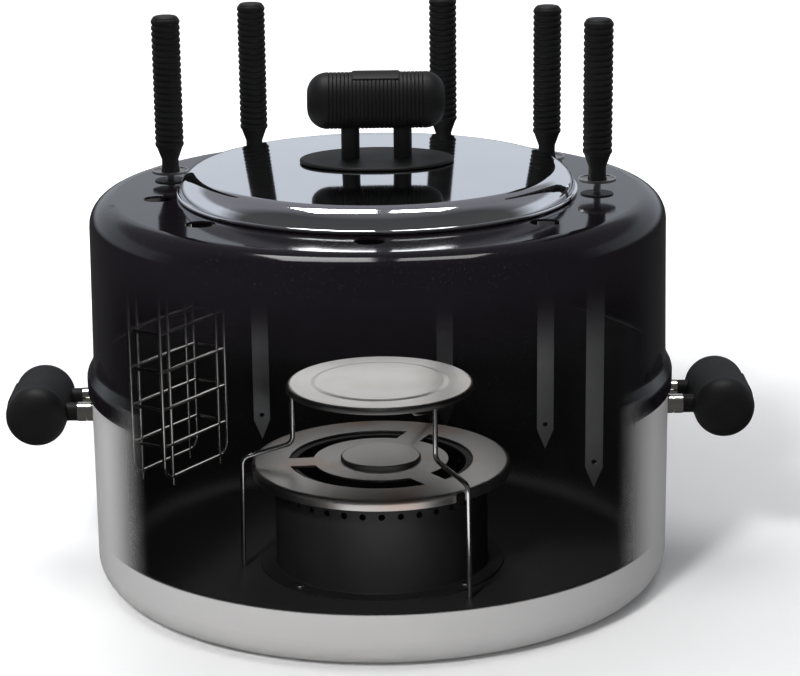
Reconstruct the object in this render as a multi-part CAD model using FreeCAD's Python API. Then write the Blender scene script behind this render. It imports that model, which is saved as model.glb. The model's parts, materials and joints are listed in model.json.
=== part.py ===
import FreeCAD, Part
import math
import os
from FreeCAD import Vector

# Stovetop vertical roaster: a base pan with a flue over the burner, a tall upper shell that
# stands on the pan's rim, a lid, four flat skewers and one wire basket that hang through holes
# round the shell's top, and a deflector on wire legs over a flame ring.
# Millimetres, +Z up, origin on the axis at the underside of the pan, +X through a side handle.

UP = Vector(0, 0, 1)
ORIGIN = Vector(0, 0, 0)

# Base pan
PAN_RADIUS = 160.0
PAN_WALL = 2.0
PAN_RIM_Z = 119.5
PAN_CORNER = 16.0
BURNER_HOLE_RADIUS = 40.0

# Flue collar over the burner hole
FLUE_RADIUS = 60.0
FLUE_TOP_Z = 60.4
FLUE_SHEET = 1.2
FLUE_FOOT_RADIUS = 69.0
FLUE_MOUTH_RADIUS = 48.0
FLUE_PORTS = 36
FLUE_PORT_RADIUS = 1.8
FLUE_PORT_Z = 47.9
FLUE_RIVETS = 4
FLUE_RIVET_CIRCLE = 65.0

# Flame ring and its cap
RING_RADIUS = 73.0
RING_WINDOW_OUTER = 52.0
RING_WINDOW_INNER = 38.0
RING_TOP_Z = 61.9
RING_SHEET = 1.2
RING_LIP = 4.6
SPOKE_WIDTH = 14.0
SPOKE_ANGLES = (65.0, 185.0, 305.0)
CAP_RADIUS = 22.7
CAP_RISE = 2.6

# Deflector plate on three wire legs
DEFLECTOR_RADIUS = 52.7
DEFLECTOR_TOP_Z = 107.9
DEFLECTOR_SHEET = 1.2
LEG_ANGLES = (67.0, 187.0, 307.0)
LEG_WIRE = 1.4
LEG_TOP_RADIUS = 49.6
LEG_FOOT_RADIUS = 78.0
LEG_KNEE_Z = 73.9
LEG_SHOULDER_Z = 66.4
LEG_FOOT_GAP = 0.3

# Upper shell
SHELL_SHEET = 1.2
SHELL_TOP_RADIUS = 157.0
SHELL_FOOT_RADIUS = 158.3
SHELL_LIP_RADIUS = 162.0
SHELL_LIP_Z = 110.0
SHELL_STEP_LOW_Z = 118.5
SHELL_STEP_HIGH_Z = 125.5
SHELL_TOP_Z = 216.2
SHELL_SHOULDER = 14.0
SHELL_MOUTH_RADIUS = 100.0
HOLE_CIRCLE = 119.8
HOLE_RADIUS = 7.9
OPEN_HOLE_ANGLES = (187.0, 220.0, 268.0, 316.0)
SKEWER_ANGLES = (-8.0, 35.7, 70.8, 126.4)
SKEWER_DROPS = (0.0, 5.2, 5.2, 5.2)
BASKET_ANGLE = 164.0
BASKET_DROP = 2.7

# Lid and its knob
LID_RADIUS = 109.3
LID_SHEET = 1.0
LID_BOTTOM_Z = 216.5
LID_EDGE_Z = 228.5
LID_EDGE_BEND = 12.0
LID_TOP_Z = 233.0
LID_DOME_CORNER = 48.0
LID_DOME_BEND = 1281.0
LID_DOME_SAG = 0.17
LID_HEM = 1.2
KNOB_PLATE_LENGTH = 84.0
KNOB_PLATE_WIDTH = 60.0
KNOB_PLATE_THICKNESS = 1.5
KNOB_HEIGHT = 266.0

# Barrel grips: the lid knob is longer and slimmer than the two side handles
KNOB_BARREL_RADIUS = 15.3
KNOB_BARREL_LENGTH = 74.6
HANDLE_BARREL_RADIUS = 16.8
HANDLE_BARREL_LENGTH = 63.4
BARREL_END = 11.0
GROOVE_PITCH = 2.1
GROOVE_DEPTH = 0.35
POST_RADIUS = 5.0
POST_OFFSET = 14.2
PAD_HALF_LENGTH = 13.0
PAD_HALF_WIDTH = 9.0
PAD_RISE = 0.7

# Side handles
HANDLE_X = 189.7
HANDLE_Z = 96.4
FERRULE_RADIUS = 5.3
FERRULE_END_X = 167.5
SCREW_RADIUS = 2.2
SCREW_CLEARANCE = 0.1
WASHER_RADIUS = 6.0
WASHER_THICKNESS = 1.0
SCREW_HEAD_RADIUS = 4.5
SCREW_HEAD = 2.0
SCREW_GRIP = 14.0

# Skewers: seat washer on the shell, dished flange, handle, flat blade
SEAT_RADIUS = 8.9
SEAT_THICKNESS = 0.6
SEAT_SPIGOT_RADIUS = 7.4
SEAT_SPIGOT = 3.0
SEAT_GAP = 0.1
FLANGE_RADIUS = 10.2
FLANGE_SHEET = 0.8
FLANGE_Z = 223.0
FLANGE_DISH = 0.7
FLANGE_RIM = 1.4
SLEEVE_RADIUS = 2.1
STEM_RADIUS = 1.5
STEM_CLEARANCE = 0.05
GRIP_BOTTOM_Z = 224.2
GRIP_TOP_Z = 311.0
GRIP_RADIUS = 8.0
NECK_RADIUS = 4.7
RIB_COUNT = 21
RIB_PITCH = 3.4
RIB_HEIGHT = 0.8
BLADE_WIDTH = 9.7
BLADE_THICKNESS = 1.5
BLADE_TOP_Z = 203.9
BLADE_TIP_Z = 48.9
BLADE_POINT = 12.0
BLADE_HOLE_RADIUS = 1.5

# Wire basket
BASKET_WIDTH = 62.0
BASKET_DEPTH = 22.0
BASKET_TOP_Z = 199.9
BASKET_BOTTOM_Z = 52.9
BASKET_PRONG = 5.0
BASKET_WIRE = 1.1
BASKET_CORNER = 7.0
BASKET_TURN = 57.0
INNER_WIRE_INSET = 7.5
CROSS_WIRES = 6
CROSS_FIRST_Z = 71.9
CROSS_PITCH = 22.0
CLIP_OFFSET = 15.0


def rounded_edges(corners):
    """Edges of a closed outline. Each corner is (point, radius), and a radius of 0 is sharp."""
    count = len(corners)
    tangents = []
    for index, (corner, radius) in enumerate(corners):
        if radius <= 0:
            tangents.append((corner, None, corner))
            continue
        back = (corners[index - 1][0] - corner).normalize()
        ahead = (corners[(index + 1) % count][0] - corner).normalize()
        half = back.getAngle(ahead) / 2
        bisector = (back + ahead).normalize()
        centre = corner + bisector * (radius / math.sin(half))
        setback = radius / math.tan(half)
        tangents.append((corner + back * setback, centre - bisector * radius, corner + ahead * setback))
    edges = []
    for index, (start, middle, end) in enumerate(tangents):
        if middle is not None:
            edges.append(Part.Arc(start, middle, end).toShape())
        following = tangents[(index + 1) % count][0]
        if end.distanceToPoint(following) > 1e-6:
            edges.append(Part.LineSegment(end, following).toShape())
    return edges


def rounded_face(corners):
    """A face with rounded corners, from ((x, y, z), radius) pairs in one plane."""
    points = [(Vector(*place), radius) for place, radius in corners]
    return Part.Face(Part.Wire(rounded_edges(points)))


def turned(corners):
    """A solid of revolution about Z, from (radius, height, corner radius) triples."""
    face = rounded_face([((r, 0, z), corner) for r, z, corner in corners])
    return face.revolve(ORIGIN, UP, 360)


def sheet_outline(corners, thickness):
    """The outline of sheet metal: an open line of (radius, height, bend) and its offset."""
    places = [Vector(r, z, 0) for r, z, bend in corners]
    runs = [(b - a).normalize() for a, b in zip(places, places[1:])]
    normals = [Vector(-run.y, run.x, 0) for run in runs]
    inner = [(places[0] + normals[0] * thickness, 0)]
    for index in range(1, len(places) - 1):
        before, after = normals[index - 1], normals[index]
        shift = (before + after) * (thickness / (1 + before.dot(after)))
        turn = runs[index - 1].cross(runs[index]).z
        bend = corners[index][2]
        other = 0 if bend == 0 else bend - math.copysign(thickness, turn)
        inner.append((places[index] + shift, max(other, 0)))
    inner.append((places[-1] + normals[-1] * thickness, 0))
    back = [(place.x, place.y, bend) for place, bend in reversed(inner)]
    return list(corners) + back


def turned_sheet(corners, thickness):
    """Spun sheet metal. The thickness lies to the left of the line of corners."""
    return turned(sheet_outline(corners, thickness))


def cylinder(start, direction, radius, length):
    """A round bar from a point along a direction."""
    return Part.makeCylinder(radius, length, Vector(*start), Vector(*direction))


def at_angle(radius, degrees, height=0.0):
    """The point at a radius and an angle from +X, at a height."""
    angle = math.radians(degrees)
    return Vector(radius * math.cos(angle), radius * math.sin(angle), height)


def fused(shapes):
    """One solid from touching or overlapping solids."""
    return shapes[0].multiFuse(shapes[1:]).removeSplitter()


def group(shapes):
    """Separate solids that share one node."""
    return Part.makeCompound(shapes)


def spun(shape, degrees):
    """A copy of a shape turned about the main axis."""
    copy = shape.copy()
    copy.rotate(ORIGIN, UP, degrees)
    return copy


def bent_rod(points, radius, bend):
    """Round wire along straight runs joined by tangent bends."""
    pieces = []
    start = points[0]
    for before, corner, after in zip(points, points[1:], points[2:]):
        into = (corner - before).normalize()
        out = (after - corner).normalize()
        turn = into.getAngle(out)
        setback = bend * math.tan(turn / 2)
        bend_start = corner - into * setback
        axis = into.cross(out).normalize()
        centre = bend_start + axis.cross(into) * bend
        pieces.append(cylinder(start, into, radius, start.distanceToPoint(bend_start)))
        disc = Part.Face(Part.Wire(Part.makeCircle(radius, bend_start, into)))
        pieces.append(disc.revolve(centre, axis, math.degrees(turn)))
        start = corner + out * setback
    last = points[-1] - start
    pieces.append(cylinder(start, last, radius, last.Length))
    return fused(pieces)


def make_base_pan():
    """Spun pan with a rounded bottom corner, the burner hole and the handle screw holes."""
    pan = turned_sheet(
        [
            (BURNER_HOLE_RADIUS, 0, 0),
            (PAN_RADIUS, 0, PAN_CORNER),
            (PAN_RADIUS, PAN_RIM_Z, 0),
        ],
        PAN_WALL,
    )
    hole = SCREW_RADIUS + SCREW_CLEARANCE
    for side in (-1, 1):
        for post in (-POST_OFFSET, POST_OFFSET):
            start = (side * (PAN_RADIUS - 10), post, HANDLE_Z)
            pan = pan.cut(cylinder(start, (side, 0, 0), hole, 20))
    rivet = FLUE_SHEET
    for index in range(FLUE_RIVETS):
        place = at_angle(FLUE_RIVET_CIRCLE, 45 + index * 360 / FLUE_RIVETS, -1)
        pan = pan.cut(cylinder(place, (0, 0, 1), rivet, 5))
    return pan


def make_flue_collar():
    """Pressed drum riveted over the burner hole, with a row of flame ports under its top."""
    collar = turned_sheet(
        [
            (FLUE_MOUTH_RADIUS, FLUE_TOP_Z - FLUE_SHEET, 0),
            (FLUE_RADIUS - FLUE_SHEET, FLUE_TOP_Z - FLUE_SHEET, 4.0),
            (FLUE_RADIUS - FLUE_SHEET, PAN_WALL, 2.0),
            (FLUE_FOOT_RADIUS, PAN_WALL, 0),
        ],
        FLUE_SHEET,
    )
    for index in range(FLUE_PORTS):
        angle = index * 360 / FLUE_PORTS
        start = at_angle(FLUE_RADIUS - 6, angle, FLUE_PORT_Z)
        collar = collar.cut(cylinder(start, at_angle(1, angle), FLUE_PORT_RADIUS, 12))
    for index in range(FLUE_RIVETS):
        place = at_angle(FLUE_RIVET_CIRCLE, 45 + index * 360 / FLUE_RIVETS, 0)
        collar = collar.cut(cylinder(place, (0, 0, 1), FLUE_SHEET, 6))
    return collar


def make_flue_rivets():
    """Flush-bottomed rivets with low round heads that hold the collar to the pan's floor."""
    rivets = []
    head_z = PAN_WALL + FLUE_SHEET
    for index in range(FLUE_RIVETS):
        place = at_angle(FLUE_RIVET_CIRCLE, 45 + index * 360 / FLUE_RIVETS)
        shank = turned([(0, 0, 0), (FLUE_SHEET, 0, 0), (FLUE_SHEET, head_z, 0), (0, head_z, 0)])
        head = turned([(0, head_z, 0), (2.6, head_z, 0), (2.6, head_z + 1.4, 0.9), (0, head_z + 1.4, 0)])
        rivet = fused([shank, head])
        rivet.translate(place)
        rivets.append(rivet)
    return group(rivets)


def make_flame_ring():
    """Ring plate with a turned-down lip, three spokes and a centre disc, notched for the legs."""
    underside = RING_TOP_Z - RING_SHEET
    plate = turned_sheet(
        [
            (0, underside, 0),
            (RING_RADIUS - RING_SHEET, underside, 1.3),
            (RING_RADIUS - RING_SHEET, underside - RING_LIP, 0),
        ],
        RING_SHEET,
    )
    window = turned(
        [
            (RING_WINDOW_INNER, underside - 2, 0),
            (RING_WINDOW_OUTER, underside - 2, 0),
            (RING_WINDOW_OUTER, RING_TOP_Z + 2, 0),
            (RING_WINDOW_INNER, RING_TOP_Z + 2, 0),
        ]
    )
    for angle in SPOKE_ANGLES:
        bar = Part.makeBox(RING_RADIUS, SPOKE_WIDTH, 10, Vector(0, -SPOKE_WIDTH / 2, underside - 4))
        window = window.cut(spun(bar, angle))
    ring = plate.cut(window)
    for angle in LEG_ANGLES:
        notch = at_angle(LEG_FOOT_RADIUS - 1.0, angle, underside - RING_LIP - 1)
        ring = ring.cut(cylinder(notch, (0, 0, 1), 6.0, 12))
    return ring.cut(cylinder((0, 0, underside - 5), (0, 0, 1), 3.0, 10))


def make_flame_cap():
    """Raised round cap riveted through the middle of the flame ring."""
    top = RING_TOP_Z + CAP_RISE
    dome = turned([(0, RING_TOP_Z, 0), (CAP_RADIUS, RING_TOP_Z, 0), (CAP_RADIUS, top, 1.6), (0, top, 0)])
    stud = cylinder((0, 0, RING_TOP_Z - RING_SHEET - 1.2), (0, 0, 1), 2.9, RING_SHEET + 1.2)
    return fused([dome, stud])


def make_deflector_plate():
    """Round plate with a raised middle and an edge rolled down."""
    underside = DEFLECTOR_TOP_Z - DEFLECTOR_SHEET
    return turned_sheet(
        [
            (0, underside, 0),
            (36.0, underside, 4.0),
            (38.5, underside - 0.6, 4.0),
            (DEFLECTOR_RADIUS - DEFLECTOR_SHEET, underside - 0.6, 1.4),
            (DEFLECTOR_RADIUS - DEFLECTOR_SHEET, underside - 2.8, 0),
        ],
        DEFLECTOR_SHEET,
    )


def make_deflector_leg(angle):
    """Wire leg: down from the plate, out over the flame ring, then down to the pan's floor."""
    underside = DEFLECTOR_TOP_Z - DEFLECTOR_SHEET - 0.6
    path = [
        at_angle(LEG_TOP_RADIUS, angle, underside),
        at_angle(LEG_TOP_RADIUS, angle, LEG_KNEE_Z),
        at_angle(LEG_FOOT_RADIUS, angle, LEG_SHOULDER_Z),
        at_angle(LEG_FOOT_RADIUS + 1.0, angle, PAN_WALL + LEG_FOOT_GAP),
    ]
    return bent_rod(path, LEG_WIRE, 5.0)


def make_upper_shell():
    """Deep-drawn shell: flared lip over the pan's rim, tall wall, round shoulder, holed top."""
    shell = turned_sheet(
        [
            (SHELL_LIP_RADIUS, SHELL_LIP_Z, 0),
            (SHELL_LIP_RADIUS, SHELL_STEP_LOW_Z, 5.0),
            (SHELL_FOOT_RADIUS, SHELL_STEP_HIGH_Z, 5.0),
            (SHELL_TOP_RADIUS, SHELL_TOP_Z, SHELL_SHOULDER),
            (SHELL_MOUTH_RADIUS, SHELL_TOP_Z, 2.0),
            (SHELL_MOUTH_RADIUS, SHELL_TOP_Z + 3.6, 0),
        ],
        SHELL_SHEET,
    )
    angles = OPEN_HOLE_ANGLES + SKEWER_ANGLES + (BASKET_ANGLE,)
    for angle in angles:
        place = at_angle(HOLE_CIRCLE, angle, SHELL_TOP_Z - 5)
        shell = shell.cut(cylinder(place, (0, 0, 1), HOLE_RADIUS, 10))
    return shell


def make_lid_shell():
    """Shallow domed lid with a rolled edge and a hem."""
    skirt = LID_RADIUS - LID_HEM
    lid = turned_sheet(
        [
            (skirt, LID_BOTTOM_Z, 0),
            (skirt, LID_EDGE_Z, LID_EDGE_BEND),
            (LID_DOME_CORNER, LID_TOP_Z, LID_DOME_BEND),
            (0, LID_TOP_Z, 0),
        ],
        LID_SHEET,
    )
    hem = turned(
        [
            (skirt - LID_SHEET / 2, LID_BOTTOM_Z, 0),
            (LID_RADIUS, LID_BOTTOM_Z, 1.0),
            (LID_RADIUS, LID_BOTTOM_Z + 2.4, 1.0),
            (skirt - LID_SHEET / 2, LID_BOTTOM_Z + 2.4, 0),
        ]
    )
    lid = fused([lid, hem])
    for post in (-POST_OFFSET, POST_OFFSET):
        place = (post, 0, LID_TOP_Z - 5)
        lid = lid.cut(cylinder(place, (0, 0, 1), SCREW_RADIUS + SCREW_CLEARANCE, 10))
    return lid


def make_knob_plate():
    """Oval plate under the lid knob."""
    ellipse = Part.Ellipse(ORIGIN, KNOB_PLATE_LENGTH / 2, KNOB_PLATE_WIDTH / 2)
    face = Part.Face(Part.Wire(ellipse.toShape()))
    face.translate(Vector(0, 0, LID_TOP_Z))
    plate = face.extrude(Vector(0, 0, KNOB_PLATE_THICKNESS))
    rim = [edge for edge in plate.Edges if edge.BoundBox.ZMin > LID_TOP_Z + KNOB_PLATE_THICKNESS - 0.01]
    plate = plate.makeFillet(1.2, rim)
    for post in (-POST_OFFSET, POST_OFFSET):
        place = (post, 0, LID_TOP_Z - 1)
        plate = plate.cut(cylinder(place, (0, 0, 1), SCREW_RADIUS + SCREW_CLEARANCE, 6))
    return plate


def barrel_outline(radius, length):
    """Half outline of a barrel grip: rounded ends and a row of fine grooves."""
    half = length / 2
    grooves = int((length - 2 * BARREL_END) / GROOVE_PITCH)
    corners = [(0, -half, 0), (radius, -half, BARREL_END)]
    first = -(grooves - 1) * GROOVE_PITCH / 2
    for index in range(grooves):
        middle = first + index * GROOVE_PITCH
        corners.append((radius, middle - GROOVE_DEPTH, 0))
        corners.append((radius - GROOVE_DEPTH, middle, 0))
        corners.append((radius, middle + GROOVE_DEPTH, 0))
    corners += [(radius, half, BARREL_END), (0, half, 0)]
    return corners


def make_grip(radius, length, stand_off):
    """Barrel along Y with two posts along -X, its own axis at the origin.

    stand_off is the distance from the barrel's axis to the end of the posts."""
    barrel = turned(barrel_outline(radius, length))
    pad = cylinder((0, 0, -PAD_HALF_LENGTH), (0, 0, 1), radius + PAD_RISE, 2 * PAD_HALF_LENGTH)
    pad = pad.makeChamfer(PAD_RISE, [edge for edge in pad.Edges if edge.Closed])
    window = Part.makeBox(
        radius + 2,
        2 * PAD_HALF_WIDTH,
        3 * PAD_HALF_LENGTH,
        Vector(0, -PAD_HALF_WIDTH, -1.5 * PAD_HALF_LENGTH),
    )
    grip = barrel.fuse(pad.common(window))
    grip.rotate(ORIGIN, Vector(1, 0, 0), 90)
    posts = []
    for post in (-POST_OFFSET, POST_OFFSET):
        posts.append(cylinder((-stand_off, post, 0), (1, 0, 0), POST_RADIUS, stand_off))
    grip = grip.multiFuse(posts).removeSplitter()
    for post in (-POST_OFFSET, POST_OFFSET):
        hole = cylinder((-stand_off - 1, post, 0), (1, 0, 0), SCREW_RADIUS + 0.02, SCREW_GRIP + 1.2)
        grip = grip.cut(hole)
    return grip


def make_lid_knob():
    """The barrel grip turned to stand on the knob plate, along X."""
    stand_off = KNOB_HEIGHT - LID_TOP_Z - KNOB_PLATE_THICKNESS
    grip = make_grip(KNOB_BARREL_RADIUS, KNOB_BARREL_LENGTH, stand_off)
    grip.rotate(ORIGIN, UP, 90)
    grip.rotate(ORIGIN, Vector(1, 0, 0), 90)
    grip.translate(Vector(0, 0, KNOB_HEIGHT))
    return grip


def make_screw(length):
    """Pan-head screw along +X, its head's underside at the origin."""
    head = cylinder((-SCREW_HEAD, 0, 0), (1, 0, 0), SCREW_HEAD_RADIUS, SCREW_HEAD)
    outer = [edge for edge in head.Edges if edge.Closed and edge.BoundBox.XMax < -SCREW_HEAD + 0.01]
    head = head.makeFillet(0.8, outer)
    slot = Part.makeBox(1.2, 1.0, 2 * SCREW_HEAD_RADIUS, Vector(-SCREW_HEAD - 0.2, -0.5, -SCREW_HEAD_RADIUS))
    head = head.cut(slot)
    return head.fuse(cylinder((0, 0, 0), (1, 0, 0), SCREW_RADIUS, length)).removeSplitter()


def make_washer():
    """Flat washer along +X, its back face at the origin."""
    disc = cylinder((-WASHER_THICKNESS, 0, 0), (1, 0, 0), WASHER_RADIUS, WASHER_THICKNESS)
    return disc.cut(cylinder((-2, 0, 0), (1, 0, 0), SCREW_RADIUS + SCREW_CLEARANCE, 4))


def pair(shape, offset, height):
    """Two copies of a part made along X, at the two posts of a grip."""
    copies = []
    for post in (-POST_OFFSET, POST_OFFSET):
        copy = shape.copy()
        copy.translate(Vector(offset, post, height))
        copies.append(copy)
    return group(copies)


def knob_pair(shape):
    """Two copies of a part made along X, stood upright at the lid knob's posts."""
    upright = pair(shape, 0, 0)
    upright.rotate(ORIGIN, UP, 90)
    upright.rotate(ORIGIN, Vector(1, 0, 0), 90)
    upright.translate(Vector(0, 0, LID_TOP_Z - LID_SHEET - LID_DOME_SAG))
    return upright


def make_lid_knob_fasteners():
    """Washers and screws under the lid that hold the knob."""
    washers = knob_pair(make_washer())
    length = WASHER_THICKNESS + LID_SHEET + KNOB_PLATE_THICKNESS + SCREW_GRIP - 0.5
    screws = knob_pair(make_screw(length))
    screws.translate(Vector(0, 0, -WASHER_THICKNESS))
    return {"lid_knob_washers": washers, "lid_knob_screws": screws}


def make_side_handle(side, name):
    """One side handle: grip, ferrules against the pan, washers and screws inside it."""
    washer_x = PAN_RADIUS - PAN_WALL - 1.4
    grip = make_grip(HANDLE_BARREL_RADIUS, HANDLE_BARREL_LENGTH, HANDLE_X - FERRULE_END_X)
    grip.translate(Vector(HANDLE_X, 0, HANDLE_Z))
    tube = cylinder((PAN_RADIUS - 4, 0, 0), (1, 0, 0), FERRULE_RADIUS, FERRULE_END_X - PAN_RADIUS + 4)
    bore = cylinder((PAN_RADIUS - 5, 0, 0), (1, 0, 0), SCREW_RADIUS + SCREW_CLEARANCE, 20)
    groove = turned([(FERRULE_RADIUS - 0.4, 0, 0), (8, 0, 0), (8, 0.8, 0), (FERRULE_RADIUS - 0.4, 0.8, 0)])
    groove.rotate(ORIGIN, Vector(0, 1, 0), 90)
    groove.translate(Vector(FERRULE_END_X - 5.6, 0, 0))
    ferrules = pair(tube.cut(bore).cut(groove), 0, HANDLE_Z)
    ferrules = ferrules.cut(cylinder((0, 0, 0), (0, 0, 1), PAN_RADIUS, 2 * HANDLE_Z))
    washers = pair(make_washer(), washer_x, HANDLE_Z)
    length = FERRULE_END_X - washer_x + WASHER_THICKNESS + SCREW_GRIP - 0.5
    screws = pair(make_screw(length), washer_x - WASHER_THICKNESS, HANDLE_Z)
    parts = {
        name + "_grip": grip,
        name + "_ferrules": ferrules,
        name + "_washers": washers,
        name + "_screws": screws,
    }
    if side < 0:
        parts = {node: spun(shape, 180) for node, shape in parts.items()}
    return parts


def make_seat(angle):
    """Black seat washer over a hole in the shell, with a spigot that centres it."""
    bottom = SHELL_TOP_Z + SEAT_GAP
    bore = STEM_RADIUS + STEM_CLEARANCE
    seat = turned(
        [
            (bore, bottom - SEAT_SPIGOT, 0),
            (SEAT_SPIGOT_RADIUS, bottom - SEAT_SPIGOT, 0.5),
            (SEAT_SPIGOT_RADIUS, bottom, 0),
            (SEAT_RADIUS, bottom, 0),
            (SEAT_RADIUS, bottom + SEAT_THICKNESS, 0.5),
            (bore, bottom + SEAT_THICKNESS, 0),
        ]
    )
    seat.translate(at_angle(HOLE_CIRCLE, angle))
    return seat


def make_flange(angle, drop):
    """Dished steel disc with a small rim, on a thin sleeve that stands on the seat."""
    bottom = SHELL_TOP_Z + SEAT_GAP + SEAT_THICKNESS
    bore = STEM_RADIUS + STEM_CLEARANCE
    disc = FLANGE_Z - drop
    brim = disc + FLANGE_DISH
    inside = FLANGE_RADIUS - FLANGE_SHEET
    flange = turned(
        [
            (bore, bottom, 0),
            (SLEEVE_RADIUS, bottom, 0),
            (SLEEVE_RADIUS, disc, 0),
            (6.5, disc, 6.0),
            (FLANGE_RADIUS, brim, 0),
            (FLANGE_RADIUS, brim + FLANGE_RIM, 0),
            (inside, brim + FLANGE_RIM, 0),
            (inside, brim + FLANGE_SHEET, 0),
            (6.3, disc + FLANGE_SHEET, 5.0),
            (bore, disc + FLANGE_SHEET, 0),
        ]
    )
    flange.translate(at_angle(HOLE_CIRCLE, angle))
    return flange


def make_skewer_grip(angle, drop):
    """Black ribbed handle: a flared neck, a cone, a row of rounded ribs and a round end."""
    neck_top = GRIP_BOTTOM_Z + 7.0
    first_rib = neck_top + 7.0
    valley = GRIP_RADIUS - RIB_HEIGHT
    outline = [
        Vector(STEM_RADIUS + 0.02, 0, GRIP_BOTTOM_Z),
        Vector(NECK_RADIUS + 0.5, 0, GRIP_BOTTOM_Z),
        Vector(NECK_RADIUS, 0, GRIP_BOTTOM_Z + 3.0),
        Vector(NECK_RADIUS, 0, neck_top),
        Vector(valley, 0, first_rib),
    ]
    edges = [Part.LineSegment(a, b).toShape() for a, b in zip(outline, outline[1:])]
    for index in range(RIB_COUNT):
        low = first_rib + index * RIB_PITCH
        start = Vector(valley, 0, low)
        crest = Vector(GRIP_RADIUS, 0, low + RIB_PITCH / 2)
        end = Vector(valley, 0, low + RIB_PITCH)
        edges.append(Part.Arc(start, crest, end).toShape())
    last = first_rib + RIB_COUNT * RIB_PITCH
    stem_top = last - 30.0
    crown = GRIP_TOP_Z - 0.6
    edges.append(Part.Arc(Vector(valley, 0, last), Vector(valley - 0.5, 0, crown), Vector(4.5, 0, GRIP_TOP_Z)).toShape())
    closing = [
        Vector(4.5, 0, GRIP_TOP_Z),
        Vector(0, 0, GRIP_TOP_Z),
        Vector(0, 0, stem_top),
        Vector(STEM_RADIUS + 0.02, 0, stem_top),
        outline[0],
    ]
    edges += [Part.LineSegment(a, b).toShape() for a, b in zip(closing, closing[1:])]
    grip = Part.Face(Part.Wire(edges)).revolve(ORIGIN, UP, 360)
    grip.translate(at_angle(HOLE_CIRCLE, angle, -drop))
    return grip


def make_blade(angle, drop):
    """Flat pointed blade with a small hole near its tip, on a round stem up into the handle."""
    half = BLADE_WIDTH / 2
    shoulder = BLADE_TIP_Z + BLADE_POINT
    corners = [
        ((0, 0, BLADE_TIP_Z), 0),
        ((half, 0, shoulder), 0),
        ((half, 0, BLADE_TOP_Z), 0),
        ((STEM_RADIUS, 0, BLADE_TOP_Z + 6), 0),
        ((-STEM_RADIUS, 0, BLADE_TOP_Z + 6), 0),
        ((-half, 0, BLADE_TOP_Z), 0),
        ((-half, 0, shoulder), 0),
    ]
    face = rounded_face(corners)
    face.translate(Vector(0, -BLADE_THICKNESS / 2, 0))
    blade = face.extrude(Vector(0, BLADE_THICKNESS, 0))
    hole = cylinder((0, -BLADE_WIDTH, shoulder + 3), (0, 1, 0), BLADE_HOLE_RADIUS, 2 * BLADE_WIDTH)
    stem_top = GRIP_BOTTOM_Z + 14.0 + RIB_COUNT * RIB_PITCH - 30.5
    stem = cylinder((0, 0, BLADE_TOP_Z), (0, 0, 1), STEM_RADIUS, stem_top - BLADE_TOP_Z)
    blade = blade.cut(hole).fuse(stem).removeSplitter()
    blade.translate(at_angle(HOLE_CIRCLE, angle, -drop))
    return blade


def make_skewer(index, angle, drop):
    """The four pieces of one skewer."""
    name = "skewer_%d_" % index
    return {
        name + "seat": make_seat(angle),
        name + "flange": make_flange(angle, drop),
        name + "handle": make_skewer_grip(angle, drop),
        name + "blade": make_blade(angle, drop),
    }


def place_basket(shape):
    """Turn and move a basket piece from its own axis to its hole in the shell."""
    copy = shape.copy()
    copy.rotate(ORIGIN, UP, BASKET_TURN)
    copy.translate(at_angle(HOLE_CIRCLE, BASKET_ANGLE, -BASKET_DROP))
    return copy


def leaf_frame(depth):
    """Wire loop of one basket leaf at Y = depth, with two more uprights that end in prongs."""
    half = BASKET_WIDTH / 2 - BASKET_WIRE
    loop = [
        Vector(0, depth, BASKET_TOP_Z),
        Vector(half, depth, BASKET_TOP_Z),
        Vector(half, depth, BASKET_BOTTOM_Z),
        Vector(-half, depth, BASKET_BOTTOM_Z),
        Vector(-half, depth, BASKET_TOP_Z),
        Vector(0, depth, BASKET_TOP_Z),
    ]
    pieces = [bent_rod(loop, BASKET_WIRE, BASKET_CORNER)]
    inner = half - INNER_WIRE_INSET
    prong_z = BASKET_BOTTOM_Z - BASKET_PRONG
    for side in (-inner, inner):
        upright = cylinder((side, depth, prong_z), (0, 0, 1), BASKET_WIRE, BASKET_TOP_Z - prong_z)
        pieces.append(upright)
    return pieces


def make_front_leaf():
    """Basket leaf whose cross wires turn round both sides, so that the food is held in."""
    half = BASKET_WIDTH / 2 - BASKET_WIRE
    face = -BASKET_DEPTH / 2
    end = BASKET_DEPTH / 2 - 3 * BASKET_WIRE
    pieces = leaf_frame(face)
    for index in range(CROSS_WIRES):
        height = CROSS_FIRST_Z + index * CROSS_PITCH
        hoop = [
            Vector(-half, end, height),
            Vector(-half, face, height),
            Vector(half, face, height),
            Vector(half, end, height),
        ]
        pieces.append(bent_rod(hoop, BASKET_WIRE, 3.0))
    return place_basket(fused(pieces))


def make_back_leaf():
    """Flat basket leaf that closes the food in."""
    half = BASKET_WIDTH / 2 - BASKET_WIRE
    depth = BASKET_DEPTH / 2
    pieces = leaf_frame(depth)
    for index in range(CROSS_WIRES):
        height = CROSS_FIRST_Z + index * CROSS_PITCH
        pieces.append(cylinder((-half, depth, height), (1, 0, 0), BASKET_WIRE, 2 * half))
    return place_basket(fused(pieces))


def make_basket_stem():
    """Round stem with a cross bar that lies on both leaves."""
    bar_z = BASKET_TOP_Z + BASKET_WIRE + STEM_RADIUS + 0.05
    top = GRIP_BOTTOM_Z + 14.0 + RIB_COUNT * RIB_PITCH - 30.5
    reach = BASKET_DEPTH / 2 + 2
    bar = cylinder((0, -reach, bar_z), (0, 1, 0), STEM_RADIUS, 2 * reach)
    stem = cylinder((0, 0, bar_z), (0, 0, 1), STEM_RADIUS, top - bar_z)
    return place_basket(fused([bar, stem]))


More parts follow.
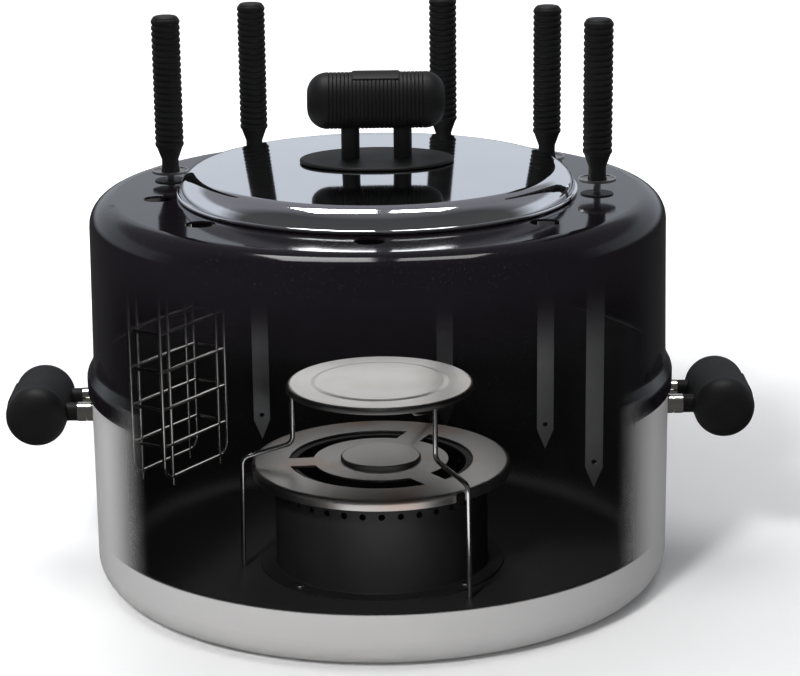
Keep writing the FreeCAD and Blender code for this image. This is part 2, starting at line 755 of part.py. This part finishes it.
def make_basket_clips():
    """Two flat rings that hold the tops of the leaves together."""
    clips = []
    reach = BASKET_DEPTH / 2 + BASKET_WIRE
    for side in (-CLIP_OFFSET, CLIP_OFFSET):
        outer = Part.makeBox(
            4, 2 * reach + 2.4, 2 * BASKET_WIRE + 2.4,
            Vector(side - 2, -reach - 1.2, BASKET_TOP_Z - BASKET_WIRE - 1.2),
        )
        inner = Part.makeBox(
            8, 2 * reach + 0.4, 2 * BASKET_WIRE + 0.4,
            Vector(side - 4, -reach - 0.2, BASKET_TOP_Z - BASKET_WIRE - 0.2),
        )
        clips.append(outer.cut(inner))
    return place_basket(group(clips))


def make_basket():
    """The pieces of the wire basket."""
    return {
        "basket_seat": make_seat(BASKET_ANGLE),
        "basket_flange": make_flange(BASKET_ANGLE, BASKET_DROP),
        "basket_handle": make_skewer_grip(BASKET_ANGLE, BASKET_DROP),
        "basket_stem": make_basket_stem(),
        "basket_front_leaf": make_front_leaf(),
        "basket_back_leaf": make_back_leaf(),
        "basket_clips": make_basket_clips(),
    }


def build():
    """Every node of the roaster, by name."""
    nodes = {
        "base_pan": make_base_pan(),
        "flue_collar": make_flue_collar(),
        "flue_rivets": make_flue_rivets(),
        "flame_ring": make_flame_ring(),
        "flame_cap": make_flame_cap(),
        "deflector_plate": make_deflector_plate(),
        "upper_shell": make_upper_shell(),
        "lid_shell": make_lid_shell(),
        "lid_knob_plate": make_knob_plate(),
        "lid_knob": make_lid_knob(),
    }
    nodes.update(make_lid_knob_fasteners())
    nodes.update(make_side_handle(-1, "left_handle"))
    nodes.update(make_side_handle(1, "right_handle"))
    for index, angle in enumerate(LEG_ANGLES, start=1):
        nodes["deflector_leg_%d" % index] = make_deflector_leg(angle)
    for index, (angle, drop) in enumerate(zip(SKEWER_ANGLES, SKEWER_DROPS), start=1):
        nodes.update(make_skewer(index, angle, drop))
    nodes.update(make_basket())
    return nodes


def main():
    os.makedirs("parts", exist_ok=True)
    for name, shape in sorted(build().items()):
        if not shape.isValid():
            raise RuntimeError(name + " is not a valid shape")
        shape.exportStep(os.path.join("parts", name + ".step"))
        print("%-22s %d solids %10.1f mm3" % (name, len(shape.Solids), shape.Volume))


main()
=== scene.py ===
import json
import math

import bpy
from mathutils import Matrix, Vector

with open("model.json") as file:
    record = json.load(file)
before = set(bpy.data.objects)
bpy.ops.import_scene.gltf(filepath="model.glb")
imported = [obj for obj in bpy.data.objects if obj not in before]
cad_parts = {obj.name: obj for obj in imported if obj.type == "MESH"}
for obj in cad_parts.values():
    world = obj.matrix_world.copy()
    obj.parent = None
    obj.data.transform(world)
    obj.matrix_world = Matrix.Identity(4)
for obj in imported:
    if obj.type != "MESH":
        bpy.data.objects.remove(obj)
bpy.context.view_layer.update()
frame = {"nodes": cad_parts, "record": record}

# The front of the shell and the pan is shown see-through, as in an advertising picture.
# At 0.0 the walls are the plain opaque metal of the real object.
GHOST_WINDOW = 1.0

# Camera, in metres and degrees
CAMERA_DISTANCE = 1.4077
CAMERA_ELEVATION = 16.45
CAMERA_ROLL = -0.79
CAMERA_TARGET = Vector((0, 0, 0.110))
CAMERA_LENS = 113.47
CAMERA_SHIFT = (0.0253, 0.0483)
CAMERA_NEAREST = 0.05

# Places that materials need, in metres
PAN_RADIUS = 0.160
PAN_CORNER = 0.016
PAN_SKIN = 0.0150
PAN_SKIN_BLUR = 0.0002
WINDOW_SILL = 0.031
WINDOW_SILL_BLUR = 0.0006
WINDOW_CLEAR_TOP = 0.154
WINDOW_SOLID_TOP = 0.200
WINDOW_CLEAR_ANGLE = 50.0
WINDOW_SOLID_ANGLE = 68.0

# The room that polished surfaces reflect, as (height from 0 straight down to 1 straight up, colour)
BACKDROP_STOPS = [
    (0.00, (0.05, 0.05, 0.05)),
    (0.47, (0.05, 0.05, 0.05)),
    (0.53, (0.60, 0.64, 0.70)),
    (0.68, (0.58, 0.62, 0.68)),
    (0.73, (0.22, 0.22, 0.24)),
    (1.00, (0.16, 0.16, 0.18)),
]
ROOM_STOPS = [
    (0.00, (0.07, 0.07, 0.07)),
    (0.50, (0.07, 0.07, 0.07)),
    (0.90, (0.06, 0.06, 0.065)),
    (1.00, (0.14, 0.14, 0.15)),
]
BACKDROP_EDGE = (-0.15, 0.30)

# Area lights: place, target, (width, height), radiance, and the kind of light that it gives
MIDDLE = (0, 0, 0.12)
LIGHTS = {
    "key": ((-0.75, -1.65, 1.6), MIDDLE, (0.30, 0.30), 105.0, "diffuse"),
    "overhead": ((0.0, 0.0, 2.3), MIDDLE, (2.0, 2.0), 2.3, "diffuse"),
    "front_fill": ((-0.4, -2.2, 0.8), MIDDLE, (1.8, 1.0), 2.0, "diffuse"),
    "left_strip": ((-0.36, 0.30, 2.0), (-0.36, 0.30, 0.0), (0.66, 0.80), 12.0, "glossy"),
    "right_strip": ((0.40, 0.20, 2.0), (0.40, 0.20, 0.0), (0.56, 0.50), 9.0, "glossy"),
    "inside_back": ((0.0, 0.13, 0.165), (0.0, 0.0, 0.10), (0.20, 0.07), 1.2, "both"),
    "inside_front": ((0.0, -0.128, 0.030), (0.0, 0.0, 0.12), (0.14, 0.04), 1.2, "both"),
}

# The floor, in metres: a matt sheet with painted light, which glows a little away from the object and more
# on its lit left side
FLOOR_HALF = 6.0
FLOOR_DROP = 0.0002
FLOOR_COLOUR = (0.92, 0.92, 0.92, 1.0)
# Painted light: the floor's own glow, which is no lamp
PAINTED_GLOW_STRENGTH = 0.9
PAINTED_GLOW_RADII = (0.22, 0.85)
# Painted light on the floor's left, lit side, which lightens the shade beside the object
PAINTED_LIGHT_SIDE_X = (0.08, 0.24)
PAINTED_LIGHT_SIDE_SHARE = 0.35

nodes = frame["nodes"]


class Graph:
    """A material with short calls for its nodes. Numbers and sockets can both be inputs."""

    def __init__(self, name):
        self.material = bpy.data.materials.new(name)
        self.material.use_nodes = True
        self.tree = self.material.node_tree
        self.shader = self.tree.nodes["Principled BSDF"]

    def plain(self, values):
        """Set sockets of the shader that are the same all over the surface."""
        for socket, value in values.items():
            self.shader.inputs[socket].default_value = value

    def feed(self, socket, value):
        """Give one input a socket to follow or a value to hold."""
        if isinstance(value, bpy.types.NodeSocket):
            self.tree.links.new(value, socket)
        elif isinstance(value, tuple) and len(value) == 3 and socket.type == "RGBA":
            socket.default_value = (*value, 1.0)
        else:
            socket.default_value = value

    def drive(self, name, value):
        """Link a varying value to a socket of the shader."""
        self.feed(self.shader.inputs[name], value)

    def node(self, kind, inputs=(), **settings):
        """A node of one kind with its settings and its first inputs in order."""
        made = self.tree.nodes.new("ShaderNode" + kind)
        for setting, value in settings.items():
            setattr(made, setting, value)
        for socket, value in zip(made.inputs, inputs):
            self.feed(socket, value)
        return made

    def math(self, operation, *inputs):
        """The result of one sum."""
        return self.node("Math", inputs, operation=operation).outputs[0]

    def place(self):
        """The place on the surface in the frame's own metres, whole and as X, Y and Z."""
        coordinates = self.node("TexCoord").outputs["Object"]
        split = self.node("SeparateXYZ", [coordinates])
        return coordinates, split.outputs

    def join(self, x, y, z):
        """A vector from three values."""
        return self.node("CombineXYZ", [x, y, z]).outputs[0]

    def radius(self, x, y):
        """The length of two sides at a right angle."""
        square = self.math("ADD", self.math("MULTIPLY", x, x), self.math("MULTIPLY", y, y))
        return self.math("SQRT", square)

    def smooth(self, value, low, high):
        """0 below low, 1 above high, with a soft step between them."""
        step = self.node("MapRange", interpolation_type="SMOOTHSTEP")
        for socket, given in zip(step.inputs, (value, low, high, 0.0, 1.0)):
            self.feed(socket, given)
        return step.outputs["Result"]

    def spread(self, value, low, high):
        """Stretch a 0 to 1 value over another range."""
        step = self.node("MapRange")
        for socket, given in zip(step.inputs, (value, 0.0, 1.0, low, high)):
            self.feed(socket, given)
        return step.outputs["Result"]

    def noise(self, vector, scale, detail=3.0, roughness=0.5):
        """Soft random values from 0 to 1."""
        made = self.node("TexNoise")
        self.feed(made.inputs["Vector"], vector)
        made.inputs["Scale"].default_value = scale
        made.inputs["Detail"].default_value = detail
        made.inputs["Roughness"].default_value = roughness
        return made.outputs[0]

    def mix(self, factor, first, second):
        """A colour between two others."""
        made = self.node("Mix", data_type="RGBA")
        self.feed(made.inputs["Factor"], factor)
        colours = [socket for socket in made.inputs if socket.type == "RGBA"]
        self.feed(colours[0], first)
        self.feed(colours[1], second)
        return [socket for socket in made.outputs if socket.type == "RGBA"][0]

    def bump(self, height, distance, strength=1.0):
        """Small relief on the surface. The distance is in metres."""
        made = self.node("Bump")
        made.inputs["Strength"].default_value = strength
        made.inputs["Distance"].default_value = distance
        self.feed(made.inputs["Height"], height)
        self.feed(self.shader.inputs["Normal"], made.outputs[0])


def ghost(graph, x, y, z):
    """Alpha of the walls: see-through in front, solid at the sides, the top and the back."""
    if GHOST_WINDOW <= 0:
        return
    angle = graph.math("ABSOLUTE", graph.math("ARCTAN2", x, graph.math("MULTIPLY", y, -1.0)))
    side = graph.smooth(angle, math.radians(WINDOW_CLEAR_ANGLE), math.radians(WINDOW_SOLID_ANGLE))
    top = graph.smooth(z, WINDOW_CLEAR_TOP, WINDOW_SOLID_TOP)
    sill = graph.smooth(z, WINDOW_SILL - WINDOW_SILL_BLUR, WINDOW_SILL + WINDOW_SILL_BLUR)
    clear = graph.math("MULTIPLY", graph.math("SUBTRACT", 1.0, side), graph.math("SUBTRACT", 1.0, top))
    clear = graph.math("MULTIPLY", clear, graph.math("MULTIPLY", sill, GHOST_WINDOW))
    graph.drive("Alpha", graph.math("SUBTRACT", 1.0, clear))


def round_streaks(graph, x, y, z, pitch):
    """Fine lines that run round the axis, as a spinning or polishing tool leaves them."""
    lines = 1.0 / pitch
    angle = graph.math("ARCTAN2", y, x)
    radius = graph.radius(x, y)
    vector = graph.join(
        graph.math("MULTIPLY", angle, 1.5),
        graph.math("MULTIPLY", radius, lines),
        graph.math("MULTIPLY", z, lines),
    )
    return graph.noise(vector, 1.0, 2.0)


def pan_material():
    """Satin spun aluminium outside, dark non-stick coating inside."""
    graph = Graph("spun_aluminium_pan")
    graph.plain({"IOR": 1.5})
    coordinates, (x, y, z) = graph.place()
    radius = graph.radius(x, y)
    beyond = graph.math("MAXIMUM", graph.math("SUBTRACT", radius, PAN_RADIUS - PAN_CORNER), 0.0)
    below = graph.math("MAXIMUM", graph.math("SUBTRACT", PAN_CORNER, z), 0.0)
    skin = graph.radius(beyond, below)
    outside = graph.smooth(skin, PAN_SKIN - PAN_SKIN_BLUR, PAN_SKIN + PAN_SKIN_BLUR)
    streaks = round_streaks(graph, x, y, z, 0.0005)
    clouds = graph.noise(coordinates, 9.0, 4.0)
    specks = graph.noise(coordinates, 900.0, 2.0)
    metal = graph.mix(clouds, (0.66, 0.65, 0.645), (0.74, 0.73, 0.725))
    coating = graph.mix(graph.smooth(specks, 0.62, 0.72), (0.020, 0.020, 0.020), (0.075, 0.075, 0.076))
    graph.drive("Base Color", graph.mix(outside, coating, metal))
    graph.drive("Metallic", graph.math("MULTIPLY", outside, 0.4))
    satin = graph.spread(graph.noise(coordinates, 30.0), 0.36, 0.50)
    matt = graph.spread(specks, 0.38, 0.62)
    inside = graph.math("SUBTRACT", 1.0, outside)
    satin = graph.math("MULTIPLY", satin, outside)
    graph.drive("Roughness", graph.math("ADD", satin, graph.math("MULTIPLY", matt, inside)))
    graph.bump(graph.math("ADD", streaks, specks), 0.000012, 0.6)
    ghost(graph, x, y, z)
    return graph.material


def enamel_material():
    """Glossy dark enamel with a violet cast, faint orange peel and a few fine specks."""
    graph = Graph("dark_enamel")
    graph.plain({"IOR": 1.32})
    coordinates, (x, y, z) = graph.place()
    clouds = graph.noise(coordinates, 12.0, 3.0)
    specks = graph.smooth(graph.noise(coordinates, 1400.0, 1.0), 0.70, 0.78)
    glaze = graph.mix(clouds, (0.0046, 0.0036, 0.0052), (0.0082, 0.0068, 0.0092))
    graph.drive("Base Color", graph.mix(specks, glaze, (0.04, 0.036, 0.05)))
    graph.drive("Roughness", graph.spread(graph.noise(coordinates, 45.0, 4.0), 0.05, 0.13))
    graph.bump(graph.noise(coordinates, 260.0, 2.0), 0.00003, 0.35)
    ghost(graph, x, y, z)
    return graph.material


def chrome_material(name, colour, low, high, streak_pitch):
    """Polished metal with faint smears and the round marks of the polishing wheel."""
    graph = Graph(name)
    graph.plain({"Metallic": 1.0})
    coordinates, (x, y, z) = graph.place()
    smears = graph.noise(coordinates, 26.0, 5.0, 0.6)
    streaks = round_streaks(graph, x, y, z, streak_pitch)
    warm = tuple(channel * 0.93 for channel in colour)
    graph.drive("Base Color", graph.mix(smears, colour, warm))
    marks = graph.math("MULTIPLY", graph.math("ADD", smears, streaks), 0.5)
    graph.drive("Roughness", graph.spread(marks, low, high))
    graph.bump(streaks, 0.000004, 0.5)
    return graph.material


def bakelite_material():
    """Black moulded thermoset: satin, with fine grain and worn, slightly paler patches at random."""
    graph = Graph("black_bakelite")
    graph.plain({"IOR": 1.32})
    coordinates, _ = graph.place()
    grain = graph.noise(coordinates, 1600.0, 3.0)
    patches = graph.noise(coordinates, 60.0, 4.0)
    graph.drive("Base Color", graph.mix(patches, (0.0035, 0.0035, 0.0037), (0.0075, 0.0075, 0.0072)))
    graph.drive("Roughness", graph.spread(patches, 0.46, 0.62))
    graph.bump(grain, 0.00003, 0.35)
    return graph.material


def coated_material(name, low, high, roughness):
    """Dark matt heat-proof coating with grain."""
    graph = Graph(name)
    coordinates, _ = graph.place()
    grain = graph.noise(coordinates, 700.0, 4.0)
    graph.drive("Base Color", graph.mix(graph.noise(coordinates, 35.0, 4.0), low, high))
    graph.drive("Roughness", graph.spread(grain, roughness - 0.08, roughness + 0.08))
    graph.bump(grain, 0.00004, 0.5)
    return graph.material


def plate_material(name, colour, tint):
    """Satin steel plate, lightly brushed, with the warm tint that heat leaves in patches."""
    graph = Graph(name)
    graph.plain({"Metallic": 1.0})
    coordinates, (x, y, z) = graph.place()
    patches = graph.smooth(graph.noise(coordinates, 22.0, 3.0), 0.45, 0.70)
    streaks = round_streaks(graph, x, y, z, 0.0004)
    graph.drive("Base Color", graph.mix(patches, colour, tint))
    graph.drive("Roughness", graph.spread(streaks, 0.30, 0.48))
    graph.bump(streaks, 0.00001, 0.6)
    return graph.material


def wire_material(name, colour, low, high):
    """Drawn wire: lines along it, and small changes of polish."""
    graph = Graph(name)
    graph.plain({"Metallic": 1.0})
    coordinates, (x, y, z) = graph.place()
    across = graph.math("MULTIPLY", x, 3000.0)
    deep = graph.math("MULTIPLY", y, 3000.0)
    drawn = graph.noise(graph.join(across, deep, graph.math("MULTIPLY", z, 60.0)), 1.0, 2.0)
    patches = graph.noise(coordinates, 70.0, 3.0)
    dull = tuple(channel * 0.8 for channel in colour)
    graph.drive("Base Color", graph.mix(patches, colour, dull))
    graph.drive("Roughness", graph.spread(drawn, low, high))
    graph.bump(drawn, 0.000006, 0.5)
    return graph.material


def make_materials():
    """One material for each of the record's slots."""
    return {
        "pan_aluminium": pan_material(),
        "shell_enamel": enamel_material(),
        "lid_chrome": chrome_material("lid_chrome_mirror", (0.88, 0.89, 0.92), 0.02, 0.09, 0.0006),
        "ferrule_chrome": chrome_material("ferrule_chrome_mirror", (0.86, 0.83, 0.76), 0.06, 0.16, 0.0004),
        "bakelite": bakelite_material(),
        "seat_black": coated_material("seat_black_matt", (0.006, 0.006, 0.006), (0.012, 0.012, 0.012), 0.5),
        "flue_black": coated_material("flue_black_coat", (0.008, 0.008, 0.009), (0.018, 0.018, 0.018), 0.55),
        "ring_steel": plate_material("ring_steel_satin", (0.62, 0.61, 0.60), (0.56, 0.45, 0.40)),
        "deflector_steel": plate_material("deflector_steel_satin", (0.66, 0.65, 0.64), (0.60, 0.57, 0.54)),
        "flange_steel": plate_material("flange_steel_satin", (0.55, 0.54, 0.54), (0.42, 0.41, 0.41)),
        "leg_wire": wire_material("leg_wire_bright", (0.84, 0.84, 0.84), 0.14, 0.30),
        "basket_wire": wire_material("basket_wire_bright", (0.80, 0.79, 0.77), 0.14, 0.32),
        "blade_steel": wire_material("blade_steel_satin", (0.72, 0.73, 0.75), 0.24, 0.42),
        "fastener_steel": wire_material("fastener_steel_plated", (0.62, 0.61, 0.58), 0.25, 0.45),
    }


def dress_nodes(materials):
    """Give every CAD node the material of its slot."""
    for part in frame["record"]["subparts"]:
        slots = nodes[part["node"]].material_slots
        for slot in slots:
            slot.material = materials[part["material_slot"]]


def look_at(thing, target, roll=0.0):
    """Point a camera or light at a place."""
    direction = Vector(target) - thing.location
    turn = direction.to_track_quat("-Z", "Y").to_matrix()
    thing.rotation_euler = (turn @ Matrix.Rotation(math.radians(roll), 3, "Z")).to_euler()


def make_camera():
    """The camera, in front of the object and a little above it."""
    elevation = math.radians(CAMERA_ELEVATION)
    camera = bpy.data.objects.new("camera", bpy.data.cameras.new("camera"))
    bpy.context.scene.collection.objects.link(camera)
    away = Vector((0, -math.cos(elevation), math.sin(elevation)))
    camera.location = CAMERA_TARGET + away * CAMERA_DISTANCE
    look_at(camera, CAMERA_TARGET, CAMERA_ROLL)
    camera.data.lens = CAMERA_LENS
    camera.data.shift_x, camera.data.shift_y = CAMERA_SHIFT
    camera.data.clip_start = CAMERA_NEAREST
    bpy.context.scene.camera = camera


def make_light(name, place, target, size, radiance, kind):
    """An area light that lights rough surfaces, shows in polished ones, or does both."""
    lamp = bpy.data.lights.new(name, "AREA")
    lamp.shape = "RECTANGLE"
    lamp.size, lamp.size_y = size
    lamp.energy = radiance * math.pi * size[0] * size[1]
    light = bpy.data.objects.new(name, lamp)
    bpy.context.scene.collection.objects.link(light)
    light.location = place
    look_at(light, target)
    light.visible_camera = False
    light.visible_glossy = kind != "diffuse"
    light.visible_diffuse = kind != "glossy"


def colour_ramp(tree, stops):
    """A colour ramp with these (position, colour) stops."""
    ramp = tree.nodes.new("ShaderNodeValToRGB")
    elements = ramp.color_ramp.elements
    elements[0].position = stops[0][0]
    elements[1].position = stops[-1][0]
    for position, _ in stops[1:-1]:
        elements.new(position)
    for element, (_, colour) in zip(elements, stops):
        element.color = (*colour, 1.0)
    return ramp


def blend(tree, factor, first, second):
    """Mix two colours, each given as a socket or as plain numbers."""
    mixer = tree.nodes.new("ShaderNodeMix")
    mixer.data_type = "RGBA"
    tree.links.new(factor, mixer.inputs["Factor"])
    colours = [socket for socket in mixer.inputs if socket.type == "RGBA"]
    for socket, value in zip(colours, (first, second)):
        if isinstance(value, tuple):
            socket.default_value = (*value, 1.0)
        else:
            tree.links.new(value, socket)
    return [socket for socket in mixer.outputs if socket.type == "RGBA"][0]


def make_world():
    """A studio that is white to the eye, with a pale backdrop and a dark room in front."""
    world = bpy.data.worlds.new("studio")
    bpy.context.scene.world = world
    world.use_nodes = True
    tree = world.node_tree
    background = tree.nodes["Background"]
    coordinates = tree.nodes.new("ShaderNodeTexCoord")
    split = tree.nodes.new("ShaderNodeSeparateXYZ")
    tree.links.new(coordinates.outputs["Generated"], split.inputs[0])
    back = colour_ramp(tree, BACKDROP_STOPS)
    front = colour_ramp(tree, ROOM_STOPS)
    height = tree.nodes.new("ShaderNodeMath")
    height.operation = "MULTIPLY_ADD"
    tree.links.new(split.outputs["Z"], height.inputs[0])
    height.inputs[1].default_value = 0.5
    height.inputs[2].default_value = 0.5
    for ramp in (back, front):
        tree.links.new(height.outputs[0], ramp.inputs[0])
    side = tree.nodes.new("ShaderNodeMapRange")
    side.interpolation_type = "SMOOTHSTEP"
    tree.links.new(split.outputs["Y"], side.inputs["Value"])
    side.inputs["From Min"].default_value = BACKDROP_EDGE[0]
    side.inputs["From Max"].default_value = BACKDROP_EDGE[1]
    room = blend(tree, side.outputs["Result"], front.outputs["Color"], back.outputs["Color"])
    seen = tree.nodes.new("ShaderNodeLightPath")
    result = blend(tree, seen.outputs["Is Camera Ray"], room, (1.0, 1.0, 1.0))
    tree.links.new(result, background.inputs["Color"])
    background.inputs["Strength"].default_value = 1.0


def make_studio():
    """Pale floor that glows with painted light, soft lights and a white surround."""
    make_world()
    mesh = bpy.data.meshes.new("floor")
    turns = ((-1, -1), (1, -1), (1, 1), (-1, 1))
    corners = [(x * FLOOR_HALF, y * FLOOR_HALF, 0) for x, y in turns]
    mesh.from_pydata(corners, [], [(0, 1, 2, 3)])
    floor = bpy.data.objects.new("floor", mesh)
    bpy.context.scene.collection.objects.link(floor)
    floor.location.z = -FLOOR_DROP
    floor.visible_glossy = False
    graph = Graph("pale_floor")
    graph.plain({"Base Color": FLOOR_COLOUR, "Roughness": 0.9})
    graph.plain({"Emission Color": (1.0, 1.0, 1.0, 1.0)})
    _, (x, y, _) = graph.place()
    # Painted light: the floor glows away from the object and more on its lit left side, though it is no lamp
    painted_glow_far = graph.smooth(graph.radius(x, y), *PAINTED_GLOW_RADII)
    painted_light_side = graph.smooth(graph.math("MULTIPLY", x, -1.0), *PAINTED_LIGHT_SIDE_X)
    painted_glow = graph.math("MAXIMUM", painted_glow_far, graph.math("MULTIPLY", painted_light_side, PAINTED_LIGHT_SIDE_SHARE))
    graph.drive("Emission Strength", graph.math("MULTIPLY", painted_glow, PAINTED_GLOW_STRENGTH))
    mesh.materials.append(graph.material)
    for name, settings in LIGHTS.items():
        make_light(name, *settings)
    bpy.context.scene.view_settings.view_transform = "Standard"


make_camera()
make_studio()
dress_nodes(make_materials())
